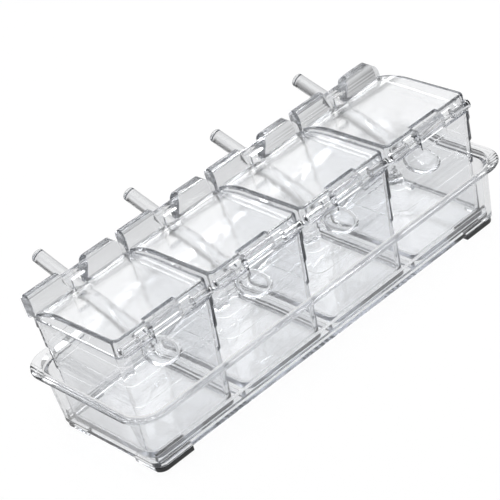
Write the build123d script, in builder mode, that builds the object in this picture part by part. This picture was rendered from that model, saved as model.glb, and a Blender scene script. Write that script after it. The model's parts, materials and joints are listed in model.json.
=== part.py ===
from build123d import *
from math import asin, cos, radians, sin, sqrt, tan
import os

os.makedirs("parts", exist_ok=True)

# Layout: X along the tray, -Y is the spoon side, +Y is the hinge side, Z is up
BOX_COUNT = 4
BOX_PITCH = 76.0
BOX_GAP = 1.2

# Container, drafted walls in three tiers with a proud band under the lid
BAND_PROUD = 0.5
CONTAINER_WIDTH = BOX_PITCH - BOX_GAP - 2 * BAND_PROUD
CONTAINER_DEPTH = 87.0
CONTAINER_TAPER = 3.9
CONTAINER_CORNER = 6.0
CONTAINER_WALL = 2.6
CONTAINER_FLOOR = 2.5
CONTAINER_HEIGHT = 77.7
TIER_STEP = 0.8
UPPER_TIER_RISE = 56.3
MIDDLE_TIER_RISE = 39.5
BAND_HEIGHT = 6.2
FLOOR_FILLET = 3.0

# Tray
FOOT_HEIGHT = 4.7
TRAY_FLOOR = 2.3
TRAY_WALL = 2.5
TRAY_END_ROOM = 1.8
TRAY_SIDE_ROOM = 5.6
TRAY_BASE_CORNER = 7.5
TRAY_NECK_CORNER = 15.6
TRAY_FLARE = 4.5
NECK_RISE = 37.3
RIM_END_OVERHANG = 6.5
RIM_SIDE_OVERHANG = 7.3
RIM_SLOPE_RISE = 4.0
RIM_EDGE = 1.7
RIM_BAND = 5.9
RIM_CORNER = 19.7
RIM_LEDGE_RISE = 1.5
RIM_ROUND = 1.3
RIB_WIDTH = 3.0
RIB_HEIGHT = 5.0
RIB_ROOM = 0.6

# Feet: clear legs down the ends and dark pads along the long sides
FOOT_RIDGE_WIDTH = 5.0
FOOT_INSET = 1.2
FOOT_LONG_LEG = 27.0
FOOT_SHORT_LEG = 24.0
PAD_HEIGHT = 3.4
FOOT_LIFT = 0.4

# Lid
LID_RIM_CLEARANCE = 0.3
LID_SIDE_INSET = 0.1
LID_WALL = 2.4
LID_BACK_INSET = 2.5
LID_BACK_HEIGHT = 11.3
LID_CREST_HEIGHT = 10.1
LID_CREST_Y = -8.0
LID_FRONT_INSET = 1.5
LID_FRONT_HEIGHT = 1.4
LID_CAVITY_FRONT_INSET = 9.0
LID_EDGE_ROUND = 2.4
LID_CORNER_ROUND = 5.0

# Finger lip along the lid's front, with a notch for the handle
LIP_RADIUS = 5.2
LIP_INSET = 0.8
LIP_AXIS_HEIGHT = 10.2
LIP_FOOT_THICKNESS = 1.6
LIP_DROP = 2.0
LIP_FRONT_GAP = 0.4
LIP_ROUND_END = 11.0
LIP_SQUARE_END = 2.0
NOTCH_BACK_INSET = 3.5
NOTCH_WIDTH_LOW = 12.4
NOTCH_WIDTH_TOP = 22.0

# Hinge
HINGE_INSET = 1.7
HINGE_RISE = 3.6
PIN_RADIUS = 1.5
PIN_RUNNING_CLEARANCE = 0.05
BOSS_RADIUS = 3.2
BLOCK_WIDTH = 23.0
BLOCK_HEIGHT = 10.5
BLOCK_SIDE_ROOM = 0.8
BLOCK_SWING_ROOM = 0.5
EAR_GAP_WIDTH = 43.0
EAR_END_WALL = 2.0

# Spoon
HANDLE_RADIUS = 4.65
HANDLE_SLOPE = 17.5
HANDLE_PROUD = 35.0
HANDLE_TIP_RISE = 10.0
HANDLE_TIP_ROUND = 1.2
HANDLE_NECK_RADIUS = 2.6
HANDLE_NECK_LENGTH = 13.0
HANDLE_SEAT_CLEARANCE = 0.25
HANDLE_ARCH_CLEARANCE = 0.6
BOWL_RADIUS = 11.8
BOWL_DEPTH = 4.5
BOWL_THICKNESS = 1.5
BOWL_INSET = 15.9

# Heights and sizes that follow from the ones above
TRAY_BASE_Z = FOOT_HEIGHT
TRAY_TOP_OF_FLOOR = TRAY_BASE_Z + TRAY_FLOOR
NECK_Z = TRAY_BASE_Z + NECK_RISE
RIM_EDGE_Z = NECK_Z + RIM_SLOPE_RISE
RIM_TOP_Z = RIM_EDGE_Z + RIM_EDGE
LEDGE_Z = NECK_Z + RIM_LEDGE_RISE
CONTAINER_BASE_WIDTH = CONTAINER_WIDTH - 2 * CONTAINER_TAPER
CONTAINER_BASE_DEPTH = CONTAINER_DEPTH - 2 * CONTAINER_TAPER
BOX_SPAN = (BOX_COUNT - 1) * BOX_PITCH
TRAY_LENGTH = BOX_SPAN + CONTAINER_BASE_WIDTH + 2 * (TRAY_END_ROOM + TRAY_WALL)
TRAY_DEPTH = CONTAINER_BASE_DEPTH + 2 * (TRAY_SIDE_ROOM + TRAY_WALL)
NECK_LENGTH = TRAY_LENGTH + 2 * TRAY_FLARE
NECK_DEPTH = TRAY_DEPTH + 2 * TRAY_FLARE
RIM_LENGTH = NECK_LENGTH + 2 * RIM_END_OVERHANG
RIM_DEPTH = NECK_DEPTH + 2 * RIM_SIDE_OVERHANG
MOUTH_Z = TRAY_TOP_OF_FLOOR + CONTAINER_HEIGHT
LID_Z = MOUTH_Z + LID_RIM_CLEARANCE
LID_WIDTH = CONTAINER_WIDTH - 2 * LID_SIDE_INSET
LID_BACK_Y = CONTAINER_DEPTH / 2 - LID_BACK_INSET
LID_FRONT_Y = LID_FRONT_INSET - CONTAINER_DEPTH / 2
LID_CAVITY_FRONT_Y = LID_CAVITY_FRONT_INSET - CONTAINER_DEPTH / 2
LIP_Y = LIP_INSET - CONTAINER_DEPTH / 2
NOTCH_BACK_Y = NOTCH_BACK_INSET - CONTAINER_DEPTH / 2
HINGE_Y = CONTAINER_DEPTH / 2 - HINGE_INSET
HINGE_Z = LID_Z + HINGE_RISE
BLOCK_TOP_Z = LID_Z + BLOCK_HEIGHT
HANDLE_TIP_REACH = CONTAINER_DEPTH / 2 + HANDLE_PROUD
HANDLE_TIP_Z = LID_Z + HANDLE_TIP_RISE
BOWL_Y = CONTAINER_DEPTH / 2 - BOWL_INSET
SLOPE_COS = cos(radians(HANDLE_SLOPE))
SLOPE_SIN = sin(radians(HANDLE_SLOPE))
SLOPE_TAN = tan(radians(HANDLE_SLOPE))

# The spoons reach further forward than the tray does back, so the tray stands
# behind the middle of the whole set by half of that difference
TIP_REACH = (
    HANDLE_TIP_REACH
    + (HANDLE_RADIUS - HANDLE_TIP_ROUND) * SLOPE_SIN
    + HANDLE_TIP_ROUND * (1 - SLOPE_COS)
)
SET_Y = (TIP_REACH - RIM_DEPTH / 2) / 2


def box_x(index):
    """X of a box's middle, counted from the -X end."""
    return (index - (BOX_COUNT - 1) / 2) * BOX_PITCH


def outline(width, depth, corner, x, z):
    """A level rounded outline around the set's tray line."""
    with BuildSketch(Plane(origin=(x, SET_Y, z))) as level:
        RectangleRounded(width, depth, corner)
    return level.sketch


def handle_z(y):
    """Height of the handle's axis at a distance y from the box's middle."""
    return HANDLE_TIP_Z - (HANDLE_TIP_REACH + y) * SLOPE_TAN


# Tray
with BuildPart() as tray:
    loft(
        sections=[
            outline(TRAY_LENGTH, TRAY_DEPTH, TRAY_BASE_CORNER, 0, TRAY_BASE_Z),
            outline(NECK_LENGTH, NECK_DEPTH, TRAY_NECK_CORNER, 0, NECK_Z),
        ],
    )
    loft(
        sections=[
            outline(NECK_LENGTH, NECK_DEPTH, TRAY_NECK_CORNER, 0, NECK_Z),
            outline(RIM_LENGTH, RIM_DEPTH, RIM_CORNER, 0, RIM_EDGE_Z),
        ],
    )
    with BuildSketch(Plane(origin=(0, SET_Y, RIM_EDGE_Z))):
        RectangleRounded(RIM_LENGTH, RIM_DEPTH, RIM_CORNER)
    extrude(amount=RIM_EDGE)
    rim_top = tray.faces().sort_by(Axis.Z)[-1]
    fillet(rim_top.edges(), RIM_ROUND)
    # Hollow, with a ledge just inside the rim
    floor_share = TRAY_FLOOR / NECK_RISE
    floor_flare = TRAY_FLARE * floor_share - TRAY_WALL
    ledge_share = (LEDGE_Z - TRAY_BASE_Z) / NECK_RISE
    ledge_flare = TRAY_FLARE * ledge_share - TRAY_WALL
    loft(
        sections=[
            outline(
                TRAY_LENGTH + 2 * floor_flare,
                TRAY_DEPTH + 2 * floor_flare,
                TRAY_BASE_CORNER - TRAY_WALL + 2,
                0,
                TRAY_TOP_OF_FLOOR,
            ),
            outline(
                TRAY_LENGTH + 2 * ledge_flare,
                TRAY_DEPTH + 2 * ledge_flare,
                TRAY_NECK_CORNER - TRAY_WALL + 1,
                0,
                LEDGE_Z,
            ),
        ],
        mode=Mode.SUBTRACT,
    )
    with BuildSketch(Plane(origin=(0, SET_Y, LEDGE_Z))):
        RectangleRounded(
            RIM_LENGTH - 2 * RIM_BAND, RIM_DEPTH - 2 * RIM_BAND, RIM_CORNER - RIM_BAND / 2
        )
    extrude(amount=RIM_TOP_Z - LEDGE_Z, mode=Mode.SUBTRACT)
    # Low ribs on the floor keep the containers in place
    rib_depth = CONTAINER_BASE_DEPTH + 2 * (RIB_ROOM + RIB_WIDTH)
    rib_length = BOX_SPAN + CONTAINER_BASE_WIDTH
    for gap in range(BOX_COUNT - 1):
        gap_x = (box_x(gap) + box_x(gap + 1)) / 2
        with BuildSketch(Plane(origin=(gap_x, SET_Y, TRAY_TOP_OF_FLOOR))):
            Rectangle(RIB_WIDTH, rib_depth)
        extrude(amount=RIB_HEIGHT)
    for side in (-1, 1):
        rib_y = SET_Y + side * (rib_depth - RIB_WIDTH) / 2
        with BuildSketch(Plane(origin=(0, rib_y, TRAY_TOP_OF_FLOOR))):
            Rectangle(rib_length, RIB_WIDTH)
        extrude(amount=RIB_HEIGHT)
    # Corner feet: a full-height leg down each end, a low ridge over each pad
    foot_length = TRAY_LENGTH - 2 * FOOT_INSET
    foot_depth = TRAY_DEPTH - 2 * FOOT_INSET
    foot_corner = TRAY_BASE_CORNER - FOOT_INSET
    inner_length = foot_length - 2 * FOOT_RIDGE_WIDTH
    inner_depth = foot_depth - 2 * FOOT_RIDGE_WIDTH
    with BuildSketch(Plane(origin=(0, SET_Y, FOOT_LIFT))):
        RectangleRounded(foot_length, foot_depth, foot_corner)
        Rectangle(inner_length, foot_depth, mode=Mode.SUBTRACT)
        Rectangle(foot_length, foot_depth - 2 * FOOT_SHORT_LEG, mode=Mode.SUBTRACT)
        for side in (-1, 1):
            band_y = side * (foot_depth - FOOT_RIDGE_WIDTH) / 2
            with Locations((0, band_y)):
                Rectangle(foot_length, FOOT_RIDGE_WIDTH, mode=Mode.SUBTRACT)
    extrude(amount=TRAY_BASE_Z - FOOT_LIFT)
    with BuildSketch(Plane(origin=(0, SET_Y, PAD_HEIGHT))):
        RectangleRounded(foot_length, foot_depth, foot_corner)
        Rectangle(foot_length, inner_depth, mode=Mode.SUBTRACT)
        Rectangle(foot_length - 2 * FOOT_LONG_LEG, foot_depth, mode=Mode.SUBTRACT)
    extrude(amount=TRAY_BASE_Z - PAD_HEIGHT)
tray.part.label = "tray"
export_step(tray.part, "parts/tray.step")


# Foot pads
def make_foot_pad(number, side_x, side_y):
    """One dark strip under a corner foot, along the long side of the tray."""
    with BuildPart() as foot_pad:
        with BuildSketch(Plane(origin=(0, SET_Y, 0))):
            RectangleRounded(foot_length, foot_depth, foot_corner)
            Rectangle(foot_length, inner_depth, mode=Mode.SUBTRACT)
            Rectangle(foot_length - 2 * FOOT_LONG_LEG, foot_depth, mode=Mode.SUBTRACT)
        extrude(amount=PAD_HEIGHT)
        split(bisect_by=Plane(origin=(0, SET_Y, 0), z_dir=(side_x, 0, 0)), keep=Keep.TOP)
        split(bisect_by=Plane(origin=(0, SET_Y, 0), z_dir=(0, side_y, 0)), keep=Keep.TOP)
    foot_pad.part.label = f"foot_pad_{number}"
    export_step(foot_pad.part, f"parts/foot_pad_{number}.step")


make_foot_pad(1, -1, -1)
make_foot_pad(2, 1, -1)
make_foot_pad(3, -1, 1)
make_foot_pad(4, 1, 1)


# Containers
def make_container(index):
    """One open-topped box with its hinge block and the seat for the handle."""
    x = box_x(index)
    draft = (CONTAINER_TAPER - 2 * TIER_STEP) / CONTAINER_HEIGHT
    upper_z = TRAY_TOP_OF_FLOOR + UPPER_TIER_RISE
    middle_z = TRAY_TOP_OF_FLOOR + MIDDLE_TIER_RISE
    upper_inset = draft * (MOUTH_Z - upper_z)
    middle_inset = draft * (MOUTH_Z - middle_z) + TIER_STEP
    with BuildPart() as container:
        loft(
            sections=[
                outline(
                    CONTAINER_BASE_WIDTH,
                    CONTAINER_BASE_DEPTH,
                    CONTAINER_CORNER,
                    x,
                    TRAY_TOP_OF_FLOOR,
                ),
                outline(
                    CONTAINER_WIDTH - 2 * (middle_inset + TIER_STEP),
                    CONTAINER_DEPTH - 2 * (middle_inset + TIER_STEP),
                    CONTAINER_CORNER,
                    x,
                    middle_z,
                ),
            ],
        )
        loft(
            sections=[
                outline(
                    CONTAINER_WIDTH - 2 * middle_inset,
                    CONTAINER_DEPTH - 2 * middle_inset,
                    CONTAINER_CORNER,
                    x,
                    middle_z,
                ),
                outline(
                    CONTAINER_WIDTH - 2 * (upper_inset + TIER_STEP),
                    CONTAINER_DEPTH - 2 * (upper_inset + TIER_STEP),
                    CONTAINER_CORNER,
                    x,
                    upper_z,
                ),
            ],
        )
        loft(
            sections=[
                outline(
                    CONTAINER_WIDTH - 2 * upper_inset,
                    CONTAINER_DEPTH - 2 * upper_inset,
                    CONTAINER_CORNER,
                    x,
                    upper_z,
                ),
                outline(CONTAINER_WIDTH, CONTAINER_DEPTH, CONTAINER_CORNER, x, MOUTH_Z),
            ],
        )
        # Proud band under the lid
        with BuildSketch(Plane(origin=(x, SET_Y, MOUTH_Z - BAND_HEIGHT))):
            RectangleRounded(
                CONTAINER_WIDTH + 2 * BAND_PROUD,
                CONTAINER_DEPTH + 2 * BAND_PROUD,
                CONTAINER_CORNER + BAND_PROUD,
            )
        extrude(amount=BAND_HEIGHT)
        # Hinge block, drawn from the side
        block_y = SET_Y + HINGE_Y
        foot_z = MOUTH_Z - BAND_HEIGHT
        with BuildSketch(Plane(origin=(x, 0, 0), x_dir=(0, 1, 0), z_dir=(1, 0, 0))):
            with BuildLine():
                block_front = block_y - BOSS_RADIUS
                block_back = block_y + BOSS_RADIUS
                wall_front = SET_Y + CONTAINER_DEPTH / 2 - CONTAINER_WALL
                turn_z = BLOCK_TOP_Z - BOSS_RADIUS
                Polyline(
                    (block_back, turn_z),
                    (block_back, foot_z + BOSS_RADIUS),
                    (block_y, foot_z),
                    (wall_front, foot_z),
                    (wall_front, MOUTH_Z - BOSS_RADIUS),
                    (block_front, MOUTH_Z),
                    (block_front, turn_z),
                )
                ThreePointArc((block_front, turn_z), (block_y, BLOCK_TOP_Z), (block_back, turn_z))
            make_face()
        extrude(amount=BLOCK_WIDTH / 2, both=True)
        # Inside
        inner_corner = CONTAINER_CORNER - CONTAINER_WALL / 2
        base_inset = CONTAINER_TAPER * (1 - CONTAINER_FLOOR / CONTAINER_HEIGHT) + CONTAINER_WALL
        loft(
            sections=[
                outline(
                    CONTAINER_WIDTH - 2 * base_inset,
                    CONTAINER_DEPTH - 2 * base_inset,
                    inner_corner,
                    x,
                    TRAY_TOP_OF_FLOOR + CONTAINER_FLOOR,
                ),
                outline(
                    CONTAINER_WIDTH - 2 * CONTAINER_WALL,
                    CONTAINER_DEPTH - 2 * CONTAINER_WALL,
                    inner_corner,
                    x,
                    MOUTH_Z,
                ),
            ],
            mode=Mode.SUBTRACT,
        )
        floor_face = container.faces().filter_by(Plane.XY).group_by(Axis.Z)[1][0]
        fillet(floor_face.edges(), FLOOR_FILLET)
        # Bore for the hinge pin
        with BuildSketch(Plane(origin=(x, block_y, HINGE_Z), z_dir=(1, 0, 0))):
            Circle(PIN_RADIUS + PIN_RUNNING_CLEARANCE)
        extrude(amount=BLOCK_WIDTH, both=True, mode=Mode.SUBTRACT)
        # Seat for the handle in the front wall, open at the top
        seat_y = -CONTAINER_DEPTH / 2 + CONTAINER_WALL / 2
        seat_radius = HANDLE_RADIUS + HANDLE_SEAT_CLEARANCE
        seat_rise = 3 * seat_radius
        with BuildSketch(
            Plane(
                origin=(x, SET_Y + seat_y, handle_z(seat_y)),
                x_dir=(-1, 0, 0),
                z_dir=(0, -SLOPE_COS, SLOPE_SIN),
            )
        ):
            Circle(seat_radius)
            with Locations((0, seat_rise / 2)):
                Rectangle(2 * seat_radius, seat_rise)
        extrude(amount=3 * CONTAINER_WALL, both=True, mode=Mode.SUBTRACT)
    container.part.label = f"container_{index + 1}"
    export_step(container.part, f"parts/container_{index + 1}.step")


# Lids
def make_lid(index):
    """One lid with its finger lip, notch, ears and pin holes."""
    x = box_x(index)
    side_plane = Plane(origin=(x, 0, 0), x_dir=(0, 1, 0), z_dir=(1, 0, 0))
    back_y = SET_Y + LID_BACK_Y
    crest_y = SET_Y + LID_CREST_Y
    front_y = SET_Y + LID_FRONT_Y
    back_z = LID_Z + LID_BACK_HEIGHT
    crest_z = LID_Z + LID_CREST_HEIGHT
    front_z = LID_Z + LID_FRONT_HEIGHT
    slope = (crest_z - back_z) / (crest_y - back_y)
    with BuildPart() as lid:
        with BuildSketch(side_plane):
            with BuildLine():
                Polyline((front_y, front_z), (front_y, LID_Z), (back_y, LID_Z), (back_y, back_z))
                Line((back_y, back_z), (crest_y, crest_z))
                TangentArc((crest_y, crest_z), (front_y, front_z), tangent=(-1, -slope))
            make_face()
        extrude(amount=LID_WIDTH / 2, both=True)
        # Rounded outer edges: down the back corners, then along the back and over both ends
        corner_edges = lid.edges().filter_by(Axis.Z).group_by(Axis.Y)[-1]
        fillet(corner_edges, LID_CORNER_ROUND)
        upper_edges = lid.edges().filter_by(Axis.Z, reverse=True)
        upper_edges = upper_edges.filter_by(lambda edge: edge.center().Z > front_z + 0.1)
        end_limit = LID_WIDTH / 2 - LID_CORNER_ROUND
        end_edges = upper_edges.filter_by(lambda edge: abs(edge.center().X - x) > end_limit)
        back_edge = upper_edges.filter_by(Axis.X).sort_by(Axis.Y)[-1]
        fillet([back_edge] + end_edges, LID_EDGE_ROUND)
        # Finger lip, drawn from the side
        lip_y = SET_Y + LIP_Y
        lip_z = LID_Z + LIP_AXIS_HEIGHT
        lip_back = lip_y + LIP_RADIUS
        lip_front = lip_y - LIP_RADIUS
        toe_back = SET_Y - CONTAINER_DEPTH / 2 - BAND_PROUD - LIP_FRONT_GAP
        toe_front = toe_back - LIP_FOOT_THICKNESS
        toe_z = LID_Z - LIP_DROP
        with BuildSketch(side_plane):
            with BuildLine():
                Polyline(
                    (lip_back, lip_z),
                    (lip_back, LID_Z),
                    (toe_back, LID_Z),
                    (toe_back, toe_z),
                    (toe_front, toe_z),
                    (lip_front, lip_z),
                )
                ThreePointArc((lip_front, lip_z), (lip_y, lip_z + LIP_RADIUS), (lip_back, lip_z))
            make_face()
        extrude(amount=LID_WIDTH / 2, both=True)
        # The lip's -X end falls in a large round and its +X end in a small one
        lip_top = lip_z + LIP_RADIUS
        for side, end_round in ((-1, LIP_ROUND_END), (1, LIP_SQUARE_END)):
            end_x = side * LID_WIDTH / 2
            with BuildSketch(
                Plane(origin=(x, lip_back, 0), x_dir=(1, 0, 0), z_dir=(0, -1, 0))
            ):
                with Locations((end_x - side * end_round / 2, lip_top - end_round / 2)):
                    Rectangle(end_round, end_round)
                with Locations((end_x - side * end_round, lip_top - end_round)):
                    Circle(end_round, mode=Mode.SUBTRACT)
            extrude(amount=2 * LIP_RADIUS + BAND_PROUD, mode=Mode.SUBTRACT)
        # Hollow underside
        with BuildSketch(side_plane):
            with BuildLine():
                inner_back = back_y - LID_WALL
                inner_front = SET_Y + LID_CAVITY_FRONT_Y
                arc_share = (crest_y - inner_front) / (crest_y - front_y)
                drop = (crest_z - front_z) * arc_share**2
                inner_front_z = crest_z - LID_WALL - drop
                Polyline(
                    (inner_front, inner_front_z),
                    (inner_front, LID_Z),
                    (inner_back, LID_Z),
                    (inner_back, back_z - LID_WALL + slope * (inner_back - back_y)),
                    (crest_y, crest_z - LID_WALL),
                )
                TangentArc(
                    (crest_y, crest_z - LID_WALL),
                    (inner_front, inner_front_z),
                    tangent=(-1, -slope),
                )
            make_face()
        extrude(amount=LID_WIDTH / 2 - LID_WALL, both=True, mode=Mode.SUBTRACT)
        inner_edges = lid.edges().filter_by(Axis.Z).filter_by_position(
            Axis.Y, inner_back - 0.01, inner_back + 0.01
        )
        fillet(inner_edges, LID_CORNER_ROUND - LID_WALL)
        # Ears carry the pin; between them the back wall is open, and the top over the block
        with BuildSketch(Plane(origin=(x, SET_Y + HINGE_Y, HINGE_Z), z_dir=(1, 0, 0))):
            Circle(BOSS_RADIUS)
        extrude(amount=LID_WIDTH / 2 - LID_EDGE_ROUND / 2, both=True)
        open_z = HINGE_Z + BOSS_RADIUS
        open_y = SET_Y + HINGE_Y
        with BuildSketch(Plane(origin=(x, open_y, LID_Z))):
            Rectangle(EAR_GAP_WIDTH, 2 * BOSS_RADIUS + 1)
        extrude(amount=open_z + 1 - LID_Z, mode=Mode.SUBTRACT)
        sweep_radius = BLOCK_TOP_Z - HINGE_Z + BLOCK_SWING_ROOM
        under_rise = LID_Z + LID_BACK_HEIGHT - LID_WALL - HINGE_Z
        sweep_depth = sqrt(sweep_radius**2 - (under_rise - 0.5) ** 2)
        slot_back = open_y + BOSS_RADIUS + 1
        slot_front = open_y - sweep_depth
        with BuildSketch(Plane(origin=(x, (slot_back + slot_front) / 2, LID_Z))):
            Rectangle(BLOCK_WIDTH + 2 * BLOCK_SIDE_ROOM, slot_back - slot_front)
        extrude(amount=LID_BACK_HEIGHT + 1, mode=Mode.SUBTRACT)
        with BuildSketch(Plane(origin=(x, open_y, HINGE_Z), z_dir=(1, 0, 0))):
            Circle(PIN_RADIUS)
        extrude(amount=LID_WIDTH / 2 - EAR_END_WALL, both=True, mode=Mode.SUBTRACT)
        # Notch through the lip, wider at the top
        with BuildSketch(
            Plane(origin=(x, SET_Y + NOTCH_BACK_Y, 0), x_dir=(1, 0, 0), z_dir=(0, -1, 0))
        ):
            with BuildLine():
                Polyline(
                    (-NOTCH_WIDTH_LOW / 2, toe_z),
                    (NOTCH_WIDTH_LOW / 2, toe_z),
                    (NOTCH_WIDTH_LOW / 2, front_z),
                    (NOTCH_WIDTH_TOP / 2, lip_top),
                    (-NOTCH_WIDTH_TOP / 2, lip_top),
                    (-NOTCH_WIDTH_LOW / 2, front_z),
                    close=True,
                )
            make_face()
        extrude(amount=3 * LIP_RADIUS, mode=Mode.SUBTRACT)
        # Arch over the handle, open below
        arch_radius = HANDLE_RADIUS + HANDLE_ARCH_CLEARANCE
        arch_y = LID_CAVITY_FRONT_Y
        with BuildSketch(
            Plane(
                origin=(x, SET_Y + arch_y, handle_z(arch_y)),
                x_dir=(-1, 0, 0),
                z_dir=(0, -SLOPE_COS, SLOPE_SIN),
            )
        ):
            Circle(arch_radius)
            with Locations((0, -arch_radius)):
                Rectangle(2 * arch_radius, 2 * arch_radius)
        extrude(amount=3 * LIP_RADIUS, both=True, mode=Mode.SUBTRACT)
    lid.part.label = f"lid_{index + 1}"
    export_step(lid.part, f"parts/lid_{index + 1}.step")


# Hinge pins
def make_hinge_pin(index):
    """One plain rod, tight in the lid's ears and free in the container's block."""
    with BuildPart() as hinge_pin:
        with BuildSketch(Plane(origin=(box_x(index), SET_Y + HINGE_Y, HINGE_Z), z_dir=(1, 0, 0))):
            Circle(PIN_RADIUS)
        extrude(amount=LID_WIDTH / 2 - EAR_END_WALL, both=True)
    hinge_pin.part.label = f"hinge_pin_{index + 1}"
    export_step(hinge_pin.part, f"parts/hinge_pin_{index + 1}.step")


# Spoons
def make_spoon(index):
    """One spoon: a shallow round bowl, a neck and a straight round handle."""
    x = box_x(index)
    bowl_centre = Vector(x, SET_Y + BOWL_Y, handle_z(BOWL_Y))
    outward = Vector(0, -SLOPE_COS, SLOPE_SIN)
    upward = Vector(0, SLOPE_SIN, SLOPE_COS)
    handle_length = (BOWL_Y + HANDLE_TIP_REACH) / SLOPE_COS
    ball_radius = (BOWL_RADIUS**2 + BOWL_DEPTH**2) / (2 * BOWL_DEPTH)
    ball_z = ball_radius - BOWL_DEPTH
    hollow_radius = ball_radius - BOWL_THICKNESS
    lip_radius = sqrt(hollow_radius**2 - ball_z**2)
    outer_half = asin(BOWL_RADIUS / ball_radius) / 2
    inner_half = asin(lip_radius / hollow_radius) / 2
    with BuildPart() as spoon:
        with BuildSketch(Plane(origin=bowl_centre, x_dir=outward, z_dir=(-1, 0, 0))):
            with BuildLine():
                ThreePointArc(
                    (0, -BOWL_DEPTH),
                    (ball_radius * sin(outer_half), ball_z - ball_radius * cos(outer_half)),
                    (BOWL_RADIUS, 0),
                )
                Line((BOWL_RADIUS, 0), (lip_radius, 0))
                ThreePointArc(
                    (lip_radius, 0),
                    (hollow_radius * sin(inner_half), ball_z - hollow_radius * cos(inner_half)),
                    (0, BOWL_THICKNESS - BOWL_DEPTH),
                )
                Line((0, BOWL_THICKNESS - BOWL_DEPTH), (0, -BOWL_DEPTH))
            make_face()
        revolve(axis=Axis(bowl_centre, upward))
        neck_start = BOWL_RADIUS - BOWL_THICKNESS
        neck_end = neck_start + HANDLE_NECK_LENGTH
        with BuildSketch(Plane(origin=bowl_centre + outward * neck_start, z_dir=outward)):
            Circle(HANDLE_NECK_RADIUS)
        with BuildSketch(Plane(origin=bowl_centre + outward * neck_end, z_dir=outward)):
            Circle(HANDLE_RADIUS)
        loft()
        with BuildSketch(Plane(origin=bowl_centre + outward * neck_end, z_dir=outward)):
            Circle(HANDLE_RADIUS)
        extrude(amount=handle_length - neck_end)
        tip_face = spoon.faces().sort_by(Axis.Y)[0]
        fillet(tip_face.edges(), HANDLE_TIP_ROUND)
    spoon.part.label = f"spoon_{index + 1}"
    export_step(spoon.part, f"parts/spoon_{index + 1}.step")


for box in range(BOX_COUNT):
    make_container(box)
    make_lid(box)
    make_hinge_pin(box)
    make_spoon(box)
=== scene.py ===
"""Studio scene for a clear spice storage box set: a rimmed tray, hinged-lid boxes and spoons."""

import json
import logging
import math
from dataclasses import dataclass
from enum import Enum
from typing import Any, ClassVar, Optional, Union

import bmesh
import bpy
from mathutils import Matrix, Vector

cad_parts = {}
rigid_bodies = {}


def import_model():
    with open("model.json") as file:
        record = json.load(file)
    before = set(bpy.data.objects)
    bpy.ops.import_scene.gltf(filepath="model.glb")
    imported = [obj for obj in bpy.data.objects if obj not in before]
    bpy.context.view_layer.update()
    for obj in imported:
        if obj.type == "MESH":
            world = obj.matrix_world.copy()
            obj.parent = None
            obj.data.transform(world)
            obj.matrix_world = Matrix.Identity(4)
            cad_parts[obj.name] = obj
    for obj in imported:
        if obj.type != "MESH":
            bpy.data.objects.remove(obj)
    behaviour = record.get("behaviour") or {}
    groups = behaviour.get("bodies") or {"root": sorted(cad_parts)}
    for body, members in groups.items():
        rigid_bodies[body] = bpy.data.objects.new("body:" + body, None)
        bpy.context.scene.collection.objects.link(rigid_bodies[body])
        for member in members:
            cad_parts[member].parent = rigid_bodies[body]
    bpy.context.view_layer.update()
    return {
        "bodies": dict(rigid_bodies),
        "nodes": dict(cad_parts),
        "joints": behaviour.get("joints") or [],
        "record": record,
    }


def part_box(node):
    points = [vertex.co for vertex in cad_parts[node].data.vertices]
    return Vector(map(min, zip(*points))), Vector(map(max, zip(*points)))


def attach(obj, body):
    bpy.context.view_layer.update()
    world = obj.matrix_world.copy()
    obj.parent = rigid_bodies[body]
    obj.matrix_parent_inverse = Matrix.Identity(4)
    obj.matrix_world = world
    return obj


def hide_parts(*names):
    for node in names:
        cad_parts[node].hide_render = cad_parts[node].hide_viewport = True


LOG = logging.getLogger("spice_boxes")
MM = 0.001
BOX_COUNT = 4
PAD_COUNT = 4

Colour = tuple[float, float, float]
Place = tuple[float, float, float]
Stops = tuple[tuple[float, float], ...]


class Slot(Enum):
    """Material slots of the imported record."""

    CLEAR = "clear_acrylic"
    SPOON = "clear_spoon"
    ROD = "clear_rod"
    # Near-black foot pads: rubber, and painted shade under the tray's feet.
    RUBBER_AND_SHADE = "dark_rubber"


class Maths(Enum):
    """Operations of a Math node that the finishes use."""

    ADD = "ADD"
    SUBTRACT = "SUBTRACT"
    MULTIPLY = "MULTIPLY"
    DIVIDE = "DIVIDE"
    MAXIMUM = "MAXIMUM"
    ABOVE = "GREATER_THAN"


class Graph:
    """The node tree of one material or world, with one way to add a node."""

    def __init__(self, tree: bpy.types.NodeTree) -> None:
        """Start from an empty tree.

        Args:
            tree: The node tree to fill.
        """
        self.tree = tree
        tree.nodes.clear()

    def add(
        self,
        kind: str,
        settings: Optional[dict[str, Any]] = None,
        values: Optional[dict[Union[str, int], Any]] = None,
    ) -> bpy.types.Node:
        """Add a node, apply its settings, then fill or link its inputs.

        Args:
            kind: Blender's type name of the node.
            settings: Attributes of the node; "stops" fills a colour ramp.
            values: Input names or numbers with values, sockets or wrapped sockets.

        Returns:
            The new node.
        """
        node = self.tree.nodes.new(kind)
        for key, setting in (settings or {}).items():
            if key == "stops":
                self._fill_ramp(node.color_ramp, setting)
            else:
                setattr(node, key, setting)
        for key, value in (values or {}).items():
            socket = node.inputs[key]
            if isinstance(value, Wire):
                self.tree.links.new(value.socket, socket)
            elif isinstance(value, bpy.types.NodeSocket):
                self.tree.links.new(value, socket)
            else:
                socket.default_value = value
        return node

    def wire(self, node: bpy.types.Node, output: Union[str, int] = 0) -> "Wire":
        """Wrap an output of a node so that it can be used in expressions."""
        return Wire(self, node.outputs[output])

    @staticmethod
    def _fill_ramp(ramp: bpy.types.ColorRamp, stops: Stops) -> None:
        """Write grey stops into a colour ramp.

        Args:
            ramp: The ramp to fill.
            stops: Pairs of position and grey level, in rising order.
        """
        while len(ramp.elements) > 1:
            ramp.elements.remove(ramp.elements[-1])
        for number, (position, grey) in enumerate(stops):
            stop = ramp.elements[0] if number == 0 else ramp.elements.new(position)
            stop.position = position
            stop.color = (grey, grey, grey, 1.0)


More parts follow.
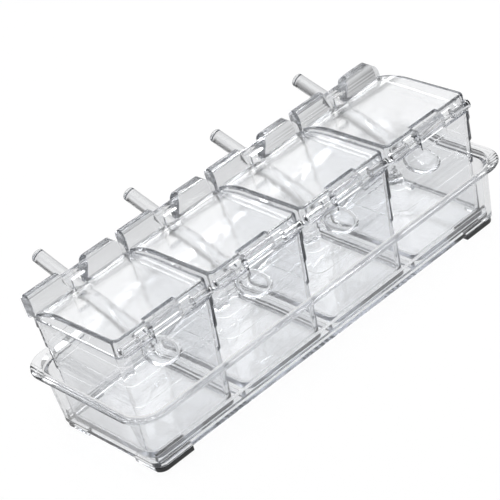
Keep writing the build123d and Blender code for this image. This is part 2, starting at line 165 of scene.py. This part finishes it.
class Wire:
    """A socket that can be used in arithmetic."""

    def __init__(self, graph: Graph, socket: bpy.types.NodeSocket) -> None:
        """Remember the socket and the graph that it belongs to.

        Args:
            graph: The graph that new Math nodes go to.
            socket: The output socket.
        """
        self.graph = graph
        self.socket = socket

    def _join(self, maths: Maths, first: Any, second: Any) -> "Wire":
        """Add a Math node on two values.

        Args:
            maths: The operation.
            first: A wire or a number.
            second: A wire or a number.

        Returns:
            The result as a wire.
        """
        node = self.graph.add(
            "ShaderNodeMath", {"operation": maths.value}, {0: first, 1: second}
        )
        return self.graph.wire(node)

    def __add__(self, other: Any) -> "Wire":
        """Sum of this and another value."""
        return self._join(Maths.ADD, self, other)

    def __radd__(self, other: Any) -> "Wire":
        """Sum with the number on the left."""
        return self._join(Maths.ADD, other, self)

    def __sub__(self, other: Any) -> "Wire":
        """This less another value."""
        return self._join(Maths.SUBTRACT, self, other)

    def __rsub__(self, other: Any) -> "Wire":
        """A number less this."""
        return self._join(Maths.SUBTRACT, other, self)

    def __mul__(self, other: Any) -> "Wire":
        """Product of this and another value."""
        return self._join(Maths.MULTIPLY, self, other)

    def __rmul__(self, other: Any) -> "Wire":
        """Product with the number on the left."""
        return self._join(Maths.MULTIPLY, other, self)

    def __truediv__(self, other: Any) -> "Wire":
        """This divided by another value."""
        return self._join(Maths.DIVIDE, self, other)

    def __rtruediv__(self, other: Any) -> "Wire":
        """A number divided by this."""
        return self._join(Maths.DIVIDE, other, self)

    def at_least(self, other: Any) -> "Wire":
        """The larger of this and another value."""
        return self._join(Maths.MAXIMUM, self, other)

    def above(self, other: Any) -> "Wire":
        """One where this is greater than another value, else zero."""
        return self._join(Maths.ABOVE, self, other)


def new_material(name: str) -> tuple[bpy.types.Material, Graph]:
    """Make a material with an empty node tree.

    Args:
        name: The material's name.

    Returns:
        The material and its graph.
    """
    material = bpy.data.materials.new(name)
    material.use_nodes = True
    return material, Graph(material.node_tree)


@dataclass(frozen=True)
class ClearPlastic:
    """Clear moulded acrylic: flow lines down its walls, and lid panels worn a little soft.

    Lengths are in metres. The rim, lip and panel limits are places in the object's own axes.
    """

    name: str
    tint: Colour = (0.984, 0.988, 0.993)
    ior: float = 1.49
    polish: float = 0.012
    haze: float = 0.03
    haze_middle: float = 0.35
    haze_scale: float = 42.0
    haze_detail: float = 4.0
    ripple_scale: float = 70.0
    ripple: float = 0.16
    ripple_stretch: float = 0.22
    ripple_detail: float = 1.0
    ripple_roughness: float = 0.4
    ripple_depth: float = 0.0006
    bands_per_unit: ClassVar[float] = 20.0
    line_pitch: float = 0.0024
    line_depth: float = 0.00012
    lip_above: float = 0.0865
    rim_below: float = 0.056
    rim_above: float = 0.04
    rim_inner: float = 0.052
    rim_longer: float = 0.1028
    soft_above: float = 0.092
    soft_behind: float = -0.0285
    soft_rough: float = 0.09
    shadow: Colour = (0.975, 0.977, 0.98)
    depth_tint: Colour = (0.0, 0.04, 0.12)
    depth_density: float = 13.0

    def build(self) -> bpy.types.Material:
        """Build the material.

        Returns:
            The finished material.
        """
        material, graph = new_material(self.name)
        place = graph.add("ShaderNodeTexCoord").outputs["Object"]
        drawn = graph.add(
            "ShaderNodeMapping",
            None,
            {"Vector": place, "Scale": (1.0, 1.0, self.ripple_stretch)},
        )
        wave = graph.add(
            "ShaderNodeTexNoise",
            {"noise_dimensions": "3D"},
            {
                "Vector": drawn.outputs[0],
                "Scale": self.ripple_scale,
                "Detail": self.ripple_detail,
                "Roughness": self.ripple_roughness,
            },
        )
        smear = graph.add(
            "ShaderNodeTexNoise",
            {"noise_dimensions": "3D"},
            {"Vector": place, "Scale": self.haze_scale, "Detail": self.haze_detail},
        )
        axes = graph.add("ShaderNodeSeparateXYZ", None, {0: place})
        panel = graph.wire(axes, "Z").above(self.soft_above)
        panel = panel * graph.wire(axes, "Y").above(self.soft_behind)
        rough = graph.wire(smear) * self.haze + (self.polish - self.haze * self.haze_middle)
        rough = rough + panel * self.soft_rough
        bump = graph.add(
            "ShaderNodeBump",
            None,
            {
                "Strength": self.ripple,
                "Distance": self.ripple_depth,
                "Height": graph.wire(wave),
                "Normal": self._lines(graph, axes),
            },
        )
        body = graph.add(
            "ShaderNodeBsdfPrincipled",
            None,
            {
                "Base Color": (*self.tint, 1.0),
                "Roughness": rough.at_least(0.0),
                "IOR": self.ior,
                "Transmission Weight": 1.0,
                "Normal": bump.outputs[0],
            },
        )
        thin = graph.add("ShaderNodeBsdfTransparent", None, {"Color": (*self.shadow, 1.0)})
        rays = graph.add("ShaderNodeLightPath")
        mix = graph.add(
            "ShaderNodeMixShader",
            None,
            {0: rays.outputs["Is Shadow Ray"], 1: body.outputs[0], 2: thin.outputs[0]},
        )
        depth = graph.add(
            "ShaderNodeVolumeAbsorption",
            None,
            {"Color": (*self.depth_tint, 1.0), "Density": self.depth_density},
        )
        graph.add(
            "ShaderNodeOutputMaterial",
            None,
            {"Surface": mix.outputs[0], "Volume": depth.outputs[0]},
        )
        return material

    def _lines(self, graph: Graph, axes: bpy.types.Node) -> bpy.types.NodeSocket:
        """Draw fine moulded lines along the tray's rim and along the finger lips.

        Args:
            graph: The material's graph.
            axes: The node that gives the three object coordinates.

        Returns:
            The normal with the lines on it.
        """
        along, across, up = (graph.wire(axes, name) for name in "XYZ")
        out = across.at_least(0.0 - across)
        ring = (along.at_least(0.0 - along) - self.rim_longer).at_least(out)
        rim = ring.above(self.rim_inner) * up.above(self.rim_above)
        rim = rim * (0.0 - up).above(-self.rim_below)
        lip = (0.0 - across).above(-self.soft_behind) * up.above(self.lip_above)
        run = graph.add(
            "ShaderNodeCombineXYZ", None, {0: rim * ring + lip * (across - up)}
        )
        lines = graph.add(
            "ShaderNodeTexWave",
            {"wave_type": "BANDS", "bands_direction": "X"},
            {
                "Vector": run.outputs[0],
                "Scale": math.tau / (self.bands_per_unit * self.line_pitch),
                "Distortion": 0.0,
            },
        )
        bump = graph.add(
            "ShaderNodeBump",
            None,
            {
                "Strength": 1.0,
                "Distance": self.line_depth,
                "Height": graph.wire(lines, "Fac") * (rim + lip),
            },
        )
        return bump.outputs[0]


@dataclass(frozen=True)
class RubberPadAndShade:
    """Near-black rubber with a fine grain for the foot pads; its black is also painted shade,
    standing in for the dark refraction seen under the near feet.
    """

    name: str
    colour: Colour = (0.018, 0.018, 0.021)
    grain_scale: float = 900.0
    grain_detail: float = 2.0
    grain_strength: float = 0.25
    grain_depth: float = 0.0001
    gloss: float = 0.3
    gloss_spread: float = 0.2

    def build(self) -> bpy.types.Material:
        """Build the material.

        Returns:
            The finished material.
        """
        material, graph = new_material(self.name)
        place = graph.add("ShaderNodeTexCoord").outputs["Object"]
        grain = graph.add(
            "ShaderNodeTexNoise",
            None,
            {"Vector": place, "Scale": self.grain_scale, "Detail": self.grain_detail},
        )
        bump = graph.add(
            "ShaderNodeBump",
            None,
            {
                "Strength": self.grain_strength,
                "Distance": self.grain_depth,
                "Height": graph.wire(grain),
            },
        )
        body = graph.add(
            "ShaderNodeBsdfPrincipled",
            None,
            {
                "Base Color": (*self.colour, 1.0),
                "Roughness": graph.wire(grain) * self.gloss_spread + self.gloss,
                "Normal": bump.outputs[0],
            },
        )
        graph.add("ShaderNodeOutputMaterial", None, {"Surface": body.outputs[0]})
        return material


@dataclass(frozen=True)
class PaleFloor:
    """Matt pale studio floor: white to the eye, and grey to dark in and through the plastic.

    The fade pairs a share of the reach, from the middle of the floor, with a grey level.
    """

    name: str
    grey: float = 0.92
    camera_share: float = 0.9
    through_share: float = 0.95
    reach: float = 2.0
    fade: Stops = (
        (0.0, 0.86),
        (0.12, 0.84),
        (0.2, 0.3),
        (0.6, 0.05),
        (1.0, 0.03),
    )

    def build(self) -> bpy.types.Material:
        """Build the material.

        Returns:
            The finished material.
        """
        material, graph = new_material(self.name)
        place = graph.add("ShaderNodeTexCoord").outputs["Object"]
        span = graph.add("ShaderNodeVectorMath", {"operation": "LENGTH"}, {0: place})
        ramp = graph.add(
            "ShaderNodeValToRGB",
            {"stops": self.fade},
            {0: graph.wire(span, "Value") / self.reach},
        )
        lit = graph.add(
            "ShaderNodeBsdfDiffuse", None, {"Color": (self.grey, self.grey, self.grey, 1.0)}
        )
        around = graph.add(
            "ShaderNodeEmission", None, {"Color": ramp.outputs[0], "Strength": 1.0}
        )
        white = graph.add("ShaderNodeEmission", None, {"Strength": 1.0})
        rays = graph.add("ShaderNodeLightPath")
        through = graph.wire(rays, "Is Glossy Ray").at_least(
            graph.wire(rays, "Is Transmission Ray")
        )
        inner = graph.add(
            "ShaderNodeMixShader",
            None,
            {0: through * self.through_share, 1: lit.outputs[0], 2: around.outputs[0]},
        )
        outer = graph.add(
            "ShaderNodeMixShader",
            None,
            {
                0: graph.wire(rays, "Is Camera Ray") * self.camera_share,
                1: inner.outputs[0],
                2: white.outputs[0],
            },
        )
        graph.add("ShaderNodeOutputMaterial", None, {"Surface": outer.outputs[0]})
        return material


@dataclass
class Moulding:
    """One moulded piece: a clean copy of a CAD solid with softened edges."""

    node: str
    body: str
    slot: Slot
    material: bpy.types.Material
    edge_mm: float = 0.35
    edge_steps: int = 2
    sole_mm: float = 0.0
    slimmed: float = 0.0
    merge: ClassVar[float] = 1e-6
    flat_angle: ClassVar[float] = math.radians(0.4)
    edge_angle: ClassVar[float] = math.radians(34)

    def build(self, frame: dict[str, Any]) -> bpy.types.Object:
        """Copy the solid, merge and soften it, and put it on its body.

        Args:
            frame: The loaded frame.

        Returns:
            The finished piece.
        """
        source = frame["nodes"][self.node]
        mesh = bpy.data.meshes.new(f"{self.node}_moulded")
        shape = bmesh.new()
        shape.from_mesh(source.data)
        bmesh.ops.remove_doubles(shape, verts=shape.verts, dist=self.merge)
        if self.sole_mm:
            sole = min(vert.co.z for vert in shape.verts)
            low = [vert for vert in shape.verts if vert.co.z < sole + self.merge]
            bmesh.ops.translate(shape, vec=(0, 0, self.sole_mm * MM), verts=low)
        if self.slimmed:
            low, high = (Vector(corner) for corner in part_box(self.node))
            middle = Matrix.Translation(-(low + high) / 2)
            thin = 1.0 - self.slimmed
            bmesh.ops.scale(shape, vec=(1.0, thin, thin), space=middle, verts=shape.verts)
        bmesh.ops.dissolve_limit(
            shape,
            angle_limit=self.flat_angle,
            verts=shape.verts,
            edges=shape.edges,
            use_dissolve_boundaries=False,
        )
        for face in shape.faces:
            face.smooth = True
        for edge in shape.edges:
            if len(edge.link_faces) == 2 and edge.calc_face_angle(0.0) > self.edge_angle:
                edge.smooth = False
        shape.to_mesh(mesh)
        shape.free()
        piece = bpy.data.objects.new(f"{self.node}_moulded", mesh)
        bpy.context.scene.collection.objects.link(piece)
        mesh.materials.append(self.material)
        if self.edge_mm > 0:
            soften = piece.modifiers.new("soft_edges", "BEVEL")
            soften.width = self.edge_mm * MM
            soften.segments = self.edge_steps
            soften.limit_method = "ANGLE"
            soften.angle_limit = self.edge_angle
            soften.harden_normals = True
            soften.use_clamp_overlap = True
        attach(piece, self.body)
        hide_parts(self.node)
        LOG.info("piece %s: %d faces", piece.name, len(mesh.polygons))
        return piece


@dataclass
class Tray:
    """The rimmed tray with a dark pad under each corner foot: rubber pads whose black is also
    painted shade under the feet.
    """

    clear: bpy.types.Material
    pad_rubber_and_shade: bpy.types.Material
    pad_edge_mm: ClassVar[float] = 0.4

    def build(self, frame: dict[str, Any]) -> list[bpy.types.Object]:
        """Build the tray and its pads.

        Args:
            frame: The loaded frame.

        Returns:
            The pieces.
        """
        pieces = [Moulding("tray", "tray", Slot.CLEAR, self.clear).build(frame)]
        # Each pad is near-black: a rubber pad, and also painted shade in place of the dark
        # refraction under the feet.
        for number in range(1, PAD_COUNT + 1):
            pad = Moulding(
                f"foot_pad_{number}", "tray", Slot.RUBBER_AND_SHADE, self.pad_rubber_and_shade, edge_mm=self.pad_edge_mm
            )
            pieces.append(pad.build(frame))
        return pieces


@dataclass
class SpiceBox:
    """One box with its lid, hinge pin and spoon.

    The box's sole is lifted and the pin slimmed a little, so that no two clear faces coincide.
    """

    number: int
    clear: bpy.types.Material
    spoon: bpy.types.Material
    rod: bpy.types.Material
    sole_mm: ClassVar[float] = 0.2
    pin_edge_mm: ClassVar[float] = 0.2
    pin_slimmed: ClassVar[float] = 0.03
    spoon_edge_mm: ClassVar[float] = 0.25

    def build(self, frame: dict[str, Any]) -> list[bpy.types.Object]:
        """Build the four pieces of this box.

        Args:
            frame: The loaded frame.

        Returns:
            The pieces.
        """
        n = self.number
        parts = (
            Moulding(f"container_{n}", f"box_{n}", Slot.CLEAR, self.clear, sole_mm=self.sole_mm),
            Moulding(f"lid_{n}", f"lid_{n}", Slot.CLEAR, self.clear),
            Moulding(
                f"hinge_pin_{n}",
                f"lid_{n}",
                Slot.ROD,
                self.rod,
                edge_mm=self.pin_edge_mm,
                slimmed=self.pin_slimmed,
            ),
            Moulding(
                f"spoon_{n}", f"spoon_{n}", Slot.SPOON, self.spoon, edge_mm=self.spoon_edge_mm
            ),
        )
        return [part.build(frame) for part in parts]


@dataclass(frozen=True)
class SoftLamp:
    """A rectangular area lamp that looks at the tray and stays out of the picture."""

    name: str
    place: Place
    size: tuple[float, float]
    watts: float
    aim: ClassVar[Place] = (0.0, 0.0, 0.05)

    def build(self) -> None:
        """Hang the lamp."""
        data = bpy.data.lights.new(self.name, "AREA")
        data.shape = "RECTANGLE"
        data.size, data.size_y = self.size
        data.energy = self.watts
        lamp = bpy.data.objects.new(self.name, data)
        bpy.context.scene.collection.objects.link(lamp)
        lamp.location = self.place
        lamp.visible_camera = False
        lamp.rotation_mode = "QUATERNION"
        lamp.rotation_quaternion = (Vector(self.aim) - Vector(self.place)).to_track_quat("-Z", "Y")


@dataclass
class Studio:
    """Camera, floor, world and lamps.

    The world's stops pair the sine of the height above the horizon with a grey level. The
    bounces are many because light that is trapped in clear plastic counts as glossy.
    """

    floor_material: bpy.types.Material
    sensor_mm: float = 36.0
    lens_mm: float = 159.24
    camera_azimuth: float = -144.79
    camera_elevation: float = 32.46
    camera_roll: float = -14.98
    camera_place: Place = (0.680776, 0.955347, 0.798129)
    floor_size: float = 12.0
    bounces: int = 96
    clear_bounces: int = 32
    world_stops: Stops = (
        (0.0, 0.05),
        (0.2, 0.08),
        (0.42, 0.3),
        (0.6, 0.4),
        (1.0, 0.7),
    )
    lamps: tuple[SoftLamp, ...] = (
        SoftLamp("overhead", (0.0, 0.0, 1.5), (1.4, 1.4), 12.0),
        SoftLamp("far_side", (-1.075, -1.522, 1.169), (1.2, 0.8), 5.0),
        SoftLamp("low_back", (-1.077, -1.868, 0.439), (1.3, 0.2), 3.3),
        SoftLamp("strip", (-0.879, 0.0, 1.571), (0.9, 0.16), 7.24),
    )

    def build(self) -> None:
        """Set up everything around the object."""
        self._camera()
        self._floor()
        self._world()
        for lamp in self.lamps:
            lamp.build()
        scene = bpy.context.scene
        scene.view_settings.view_transform = "Standard"
        scene.cycles.max_bounces = self.bounces
        scene.cycles.transmission_bounces = self.bounces
        scene.cycles.glossy_bounces = self.bounces
        scene.cycles.transparent_max_bounces = self.clear_bounces
        LOG.info("studio ready")

    def _camera(self) -> None:
        """Stand the camera where the photograph was taken from."""
        data = bpy.data.cameras.new("camera")
        data.sensor_width = self.sensor_mm
        data.lens = self.lens_mm
        camera = bpy.data.objects.new("camera", data)
        bpy.context.scene.collection.objects.link(camera)
        azimuth = math.radians(self.camera_azimuth)
        elevation = math.radians(self.camera_elevation)
        forward = Vector(
            (
                math.sin(azimuth) * math.cos(elevation),
                math.cos(azimuth) * math.cos(elevation),
                -math.sin(elevation),
            )
        )
        level = forward.to_track_quat("-Z", "Y").to_matrix().to_4x4()
        roll = Matrix.Rotation(math.radians(self.camera_roll), 4, "Z")
        camera.matrix_world = Matrix.Translation(self.camera_place) @ level @ roll
        bpy.context.scene.camera = camera

    def _floor(self) -> None:
        """Lay a large pale floor under the tray."""
        mesh = bpy.data.meshes.new("floor")
        shape = bmesh.new()
        bmesh.ops.create_grid(shape, x_segments=1, y_segments=1, size=self.floor_size / 2)
        shape.to_mesh(mesh)
        shape.free()
        floor = bpy.data.objects.new("floor", mesh)
        bpy.context.scene.collection.objects.link(floor)
        mesh.materials.append(self.floor_material)

    def _world(self) -> None:
        """Give the world a dark horizon that brightens towards the top."""
        world = bpy.data.worlds.new("studio")
        bpy.context.scene.world = world
        world.use_nodes = True
        graph = Graph(world.node_tree)
        place = graph.add("ShaderNodeTexCoord").outputs["Generated"]
        split = graph.add("ShaderNodeSeparateXYZ", None, {0: place})
        ramp = graph.add(
            "ShaderNodeValToRGB",
            {"stops": self.world_stops},
            {0: graph.wire(split, "Z")},
        )
        lit = graph.add("ShaderNodeBackground", None, {"Color": ramp.outputs[0], "Strength": 1.0})
        graph.add("ShaderNodeOutputWorld", None, {"Surface": lit.outputs[0]})


def main() -> None:
    """Load the frame, build every sub-assembly and set up the studio."""
    logging.basicConfig(level=logging.INFO, format="%(name)s %(message)s")
    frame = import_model()
    clear = ClearPlastic("clear_acrylic").build()
    spoon = ClearPlastic("clear_spoon", line_depth=0.0).build()
    rod = ClearPlastic("clear_rod", ripple=0.0, line_depth=0.0).build()
    # Near-black pad finish: rubber, and painted shade under the tray's feet.
    pad_rubber_and_shade = RubberPadAndShade("dark_rubber").build()
    Tray(clear, pad_rubber_and_shade).build(frame)
    for number in range(1, BOX_COUNT + 1):
        SpiceBox(number, clear, spoon, rod).build(frame)
    Studio(PaleFloor("pale_floor").build()).build()


if __name__ == "__main__":
    main()
